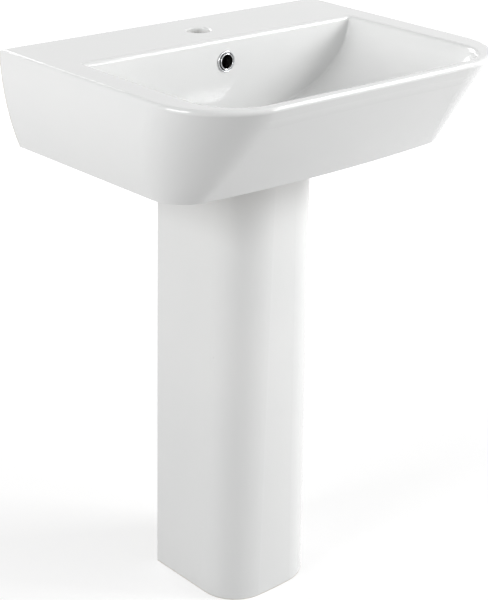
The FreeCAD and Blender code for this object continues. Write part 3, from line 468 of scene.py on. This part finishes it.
def endTree(tree, given, out, shape):  # put in place, made real, smooth and finished
    placed = put(tree, "GeometryNodeTransform", {"Geometry": shape, "Translation": given["Place"],
                                                 "Rotation": given["Turn"]}).outputs[0]
    real = put(tree, "GeometryNodeRealizeInstances", {"Geometry": placed}).outputs[0]
    smooth = put(tree, "GeometryNodeSetShadeSmooth", {0: real}).outputs[0]
    finished = put(tree, "GeometryNodeSetMaterial", {"Geometry": smooth, "Material": given["Finish"]})
    tree.links.new(finished.outputs[0], out["Geometry"])


rib = {"points": 7, "sides": 10, "fullness": 0.3}


def makeRibTree():  # half-round ribs round an axis, each fading into the wall at its two ends
    tree, given, out = newShapeTree("gripRibs", [
        ("Count", "Int", 24), ("Radius", "Float", 0.025), ("Length", "Float", 0.012),
        ("Width", "Float", 0.002), ("Proud", "Float", 0.0006), ("Place", "Vector", (0, 0, 0)),
        ("Turn", "Rotation", (0, 0, 0))])
    half, reach = middleOfWire(tree, given)
    end = put(tree, "ShaderNodeCombineXYZ", {"Z": given["Length"]}).outputs[0]
    line = put(tree, "GeometryNodeCurvePrimitiveLine", {"End": end}).outputs[0]
    line = put(tree, "GeometryNodeResampleCurve", {"Curve": line, "Count": rib["points"]}).outputs[0]
    along = put(tree, "GeometryNodeSplineParameter").outputs["Factor"]
    bow = sums(tree, "MULTIPLY", along, sums(tree, "SUBTRACT", 1.0, along))  # 0 at the ends, 1/4 halfway
    swell = sums(tree, "POWER", sums(tree, "MULTIPLY", bow, 4.0), rib["fullness"])
    line = put(tree, "GeometryNodeSetCurveRadius", {"Curve": line, "Radius": swell}).outputs[0]
    section = put(tree, "GeometryNodeCurvePrimitiveCircle", {"Resolution": rib["sides"], "Radius": half})
    one = put(tree, "GeometryNodeCurveToMesh", {"Curve": line, "Profile Curve": section.outputs[0],
                                                "Fill Caps": True})
    places = put(tree, "GeometryNodeCurvePrimitiveCircle", {"Resolution": given["Count"], "Radius": reach})
    ribs = put(tree, "GeometryNodeInstanceOnPoints", {"Points": places.outputs[0],
                                                      "Instance": one.outputs[0]})
    endTree(tree, given, out, ribs.outputs[0])
    return tree


thread = {"perTurn": 64, "sides": 8}


def makeThreadTree():  # one ridge or wire wound round an axis at a steady pitch
    tree, given, out = newShapeTree("threadRidge", [
        ("Radius", "Float", 0.02), ("Length", "Float", 0.018), ("Pitch", "Float", 0.0023),
        ("Width", "Float", 0.0016), ("Proud", "Float", 0.0004), ("Place", "Vector", (0, 0, 0)),
        ("Turn", "Rotation", (0, 0, 0))])
    half, reach = middleOfWire(tree, given)
    turns = sums(tree, "DIVIDE", given["Length"], given["Pitch"])
    wound = put(tree, "GeometryNodeCurveSpiral", {
        "Resolution": thread["perTurn"], "Rotations": turns, "Start Radius": reach, "End Radius": reach,
        "Height": given["Length"]})
    section = put(tree, "GeometryNodeCurvePrimitiveCircle", {"Resolution": thread["sides"], "Radius": half})
    ridge = put(tree, "GeometryNodeCurveToMesh", {
        "Curve": wound.outputs[0], "Profile Curve": section.outputs[0], "Fill Caps": True})
    endTree(tree, given, out, ridge.outputs[0])
    return tree


def shaped(name, tree, body, slot, **values):  # a tree's shape as a plain mesh in its slot's finish
    host = added(name + "Host", bpy.data.meshes.new(name + "Host"))
    modifier = host.modifiers.new("shape", "NODES")
    modifier.node_group = tree
    values["Finish"] = finishes[slot]
    for item in tree.interface.items_tree:
        if item.in_out == "INPUT" and item.name in values:
            modifier[item.identifier] = values[item.name]
    solved = host.evaluated_get(bpy.context.evaluated_depsgraph_get())
    mesh = bpy.data.meshes.new_from_object(solved)
    bpy.data.objects.remove(host)
    mesh.name = name
    piece = added(name, mesh)
    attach(piece, body)
    return piece


ribTree, threadTree = makeRibTree(), makeThreadTree()
upright, toWall = (0.0, 0.0, 0.0), (-math.pi / 2, 0.0, 0.0)


# finger grips on the nuts and the cup

grips = {"topNutGrip": {"node": "trap_top_nut", "body": "sink", "axis": 2, "turn": upright, "Count": 30,
                        "Radius": 0.0275, "Width": 0.0026, "Proud": 0.0007, "from": 0.30, "to": 0.88},
         "inletNutGrip": {"node": "trap_inlet_nut", "body": "sink", "axis": 2, "turn": upright, "Count": 28,
                          "Radius": 0.025, "Width": 0.0026, "Proud": 0.0007, "from": 0.12, "to": 0.70},
         "outletNutGrip": {"node": "trap_outlet_nut", "body": "sink", "axis": 1, "turn": toWall, "Count": 28,
                           "Radius": 0.025, "Width": 0.0026, "Proud": 0.0007, "from": 0.12, "to": 0.70},
         "cupGrip": {"node": "trap_cup", "body": "trap_cup", "axis": 2, "turn": upright, "Count": 48,
                     "Radius": 0.035, "Width": 0.0024, "Proud": 0.0006, "from": 0.16, "to": 0.40}}


def makeGrips():
    for name, grip in grips.items():
        low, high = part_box(grip["node"])
        axis, place = grip["axis"], [(low[k] + high[k]) / 2 for k in range(3)]
        whole = high[axis] - low[axis]
        place[axis] = low[axis] + whole * grip["from"]
        sizes = {key: grip[key] for key in ("Count", "Radius", "Width", "Proud")}
        shaped(name, ribTree, grip["body"], "chrome", Length=whole * (grip["to"] - grip["from"]),
               Place=place, Turn=grip["turn"], **sizes)


makeGrips()


# thread on the waste's tail, between its nuts

tail = {"Radius": 0.0208, "Pitch": 0.00231, "Width": 0.0017, "Proud": 0.0004, "gap": 0.0002}


def makeTailThread():
    nut, backnut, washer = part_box("trap_top_nut"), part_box("waste_backnut"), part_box("waste_washer")
    middle = (washer[0] + washer[1]) / 2
    foot, top = nut[1].z + tail["gap"], backnut[0].z - tail["gap"]
    sizes = {key: tail[key] for key in ("Radius", "Pitch", "Width", "Proud")}
    shaped("wasteTailThread", threadTree, "sink", "chrome", Length=top - foot,
           Place=(middle.x, middle.y, foot), **sizes)


makeTailThread()


# the plug's spring

spring = {"wire": 0.00055, "turns": 5, "keep": 0.49}


def makeSpring():  # a coil made to the plug spring's size, in its place
    low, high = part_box("plug_spring")
    middle, rise = (low + high) / 2, high.z - low.z - 2 * spring["wire"]
    coil = shaped("plugSpringCoil", threadTree, "sink", "steel", Radius=(high.x - low.x) / 2, Length=rise,
                  Pitch=rise / spring["turns"], Width=2 * spring["wire"], Proud=0.0,
                  Place=(middle.x, middle.y, low.z + spring["wire"]))
    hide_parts("plug_spring")
    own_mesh(coil)


makeSpring()


# overflow ring: a lip round the bore, a groove and an outer bead

# paintedShade is the strength of the painted shade in the ring's groove and along its foot
ring = {"bore": 0.01, "sleeve": 0.0114, "seat": 0.012, "flange": 0.0134, "edge": 0.00015,
        "lip": (0.01075, 0.01445, 0.00075), "groove": (0.0122, 0.0132, 0.0007),
        "bead": (0.0139, 0.013, 0.00105), "steps": 9, "around": 128, "paintedShade": 0.95,
        "lean": (5, 120)}  # forward and down, the slope of the bowl's rear face


def arc(middle, height, radius, start, end):
    angles = np.radians(np.linspace(start, end, ring["steps"]))
    return [(middle + radius * math.cos(a), height + radius * math.sin(a)) for a in angles]


def ringProfile():  # radius and height over the sleeve's end, and how much painted shade each point carries
    bore, sleeve, seat, edge = ring["bore"], ring["sleeve"], ring["seat"], ring["edge"]
    lip, bead = (arc(*ring[name], 180, 0) for name in ("lip", "bead"))
    groove = arc(*ring["groove"], 180, 360)
    outer = ring["bead"][0] + ring["bead"][2]
    foot = [(outer, seat + edge), (outer - edge, seat)]
    inner = [(sleeve, seat), (sleeve, edge), (sleeve - edge, 0.0), (bore + edge, 0.0)]
    profile = [(bore, edge), *lip, *groove, *bead, *foot, *inner]
    # painted shade goes in the groove and along the foot, where the ring meets the ceramic
    dark = groove[1:-1] + foot
    return profile, [ring["paintedShade"] if spot in dark else 0.0 for spot in profile]


def makeRing():
    low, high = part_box("overflow_ring")
    lean = math.atan2(*ring["lean"])
    across, out = Vector((1, 0, 0)), Vector((0, -math.cos(lean), math.sin(lean)))
    up = Vector((0, math.sin(lean), math.cos(lean)))
    foot = Vector((0, high.y - ring["sleeve"] * math.sin(lean),
                   (low.z + high.z - (ring["seat"] + ring["flange"]) * math.sin(lean)) / 2))
    profile, paintedShade = ringProfile()
    count, around = len(profile), ring["around"]
    spots, quads = [], []
    for k in range(around):
        turn = 2 * math.pi * k / around
        spoke = across * math.cos(turn) + up * math.sin(turn)
        spots += [foot + out * height + spoke * radius for radius, height in profile]
        here, there = k * count, (k + 1) % around * count
        for i in range(count):
            j = (i + 1) % count
            quads.append((here + i, here + j, there + j, there + i))
    mesh = bpy.data.meshes.new("overflowRingBead")
    mesh.from_pydata(spots, [], quads)
    mesh.polygons.foreach_set("use_smooth", [True] * len(quads))
    mesh.attributes.new("paintedShade", "FLOAT", "POINT").data.foreach_set("value", paintedShade * around)
    mesh.materials.append(finishes["chrome"])
    piece = added("overflowRingBead", mesh)
    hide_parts("overflow_ring")
    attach(piece, "sink")


makeRing()
print("grips, threads, spring and ring made")


# stage, lamps and camera

stage = {"half": 12.0, "colour": (0.42, 0.42, 0.42, 1), "middle": (0.0, -0.2, 0.0),
         "near": 0.6, "far": 2.6, "nearLift": 0.6, "farLift": 0.96}


def whereSeen(tree):  # 1 where the eye, a mirror or glass looks
    path = put(tree, "ShaderNodeLightPath").outputs
    seen = sums(tree, "MAXIMUM", path["Is Camera Ray"], path["Is Glossy Ray"])
    return sums(tree, "MAXIMUM", seen, path["Is Transmission Ray"])


def makeStage():
    half = stage["half"]
    mesh = bpy.data.meshes.new("floor")
    corners = [(-half, -half, 0), (half, -half, 0), (half, half, 0), (-half, half, 0)]
    mesh.from_pydata(corners, [], [(0, 1, 2, 3)])
    floor = added("floor", mesh)
    material = bpy.data.materials.new("paleFloor")
    material.use_nodes = True
    tree = material.node_tree
    tree.nodes.remove(tree.nodes["Principled BSDF"])
    paint = put(tree, "ShaderNodeBsdfDiffuse", {"Color": stage["colour"]}).outputs[0]
    place = put(tree, "ShaderNodeTexCoord").outputs["Object"]
    away = put(tree, "ShaderNodeVectorMath", {0: place, 1: stage["middle"]}, operation="DISTANCE")
    lift = spread(tree, away.outputs["Value"], stage["near"], stage["far"], stage["nearLift"],
                  stage["farLift"])
    glow = put(tree, "ShaderNodeEmission", {"Strength": sums(tree, "MULTIPLY", whereSeen(tree), lift)})
    both = put(tree, "ShaderNodeAddShader", {0: paint, 1: glow.outputs[0]}).outputs[0]
    tree.links.new(both, tree.nodes["Material Output"].inputs["Surface"])
    mesh.materials.append(material)


room = {"ambient": 0.29, "white": 1.0}


def makeRoom():
    world = bpy.data.worlds.new("studio")
    world.use_nodes = True
    scene.world = world
    tree = world.node_tree
    strength = spread(tree, whereSeen(tree), 0.0, 1.0, room["ambient"], room["white"])
    tree.links.new(strength, tree.nodes["Background"].inputs["Strength"])
    tree.nodes["Background"].inputs["Color"].default_value = (1, 1, 1, 1)


lamps = {"aim": (0.0, -0.2, 0.62),
         "left": {"from": (-0.94, 0.016, 0.342), "away": 3.2, "size": 1.6, "power": 56},
         "back": {"from": (0.033, 0.939, 0.342), "away": 3.2, "size": 1.8, "power": 35},
         "right": {"from": (0.686, -0.556, 0.469), "away": 3.2, "size": 1.1, "power": 63},
         "front": {"from": (0.585, -0.805, 0.105), "away": 3.2, "size": 1.2, "power": 30}}


def makeLamps():
    aim = Vector(lamps["aim"])
    for name in ("left", "back", "right", "front"):
        settings = lamps[name]
        light = bpy.data.lights.new(name + "Lamp", "AREA")
        light.shape, light.size, light.energy = "SQUARE", settings["size"], settings["power"]
        lamp = added(name + "Lamp", light)
        towards = Vector(settings["from"]).normalized()
        lamp.location = aim + towards * settings["away"]
        lamp.rotation_euler = towards.to_track_quat("Z", "Y").to_euler()


view = {"place": (-1.27933, -1.67954, 1.31901), "turn": 41.156, "down": 24.1025, "roll": 1.0179,
        "lens": 86.85, "across": -0.0268, "up": 0.0311}


def makeCamera():
    turn, down, roll = (math.radians(view[key]) for key in ("turn", "down", "roll"))
    ahead = Vector((math.sin(turn) * math.cos(down), math.cos(turn) * math.cos(down), -math.sin(down)))
    right = Vector((math.cos(turn), -math.sin(turn), 0))
    top = right.cross(ahead)
    right, top = (right * math.cos(roll) + top * math.sin(roll),
                  top * math.cos(roll) - right * math.sin(roll))
    data = bpy.data.cameras.new("camera")
    data.lens, data.shift_x, data.shift_y = view["lens"], view["across"], view["up"]
    camera = added("camera", data)
    facing = Matrix((right, top, -ahead)).transposed().to_4x4()
    camera.matrix_world = Matrix.Translation(view["place"]) @ facing
    scene.camera = camera


makeStage()
makeRoom()
makeLamps()
makeCamera()
scene.view_settings.view_transform = "Standard"
print("stage set")
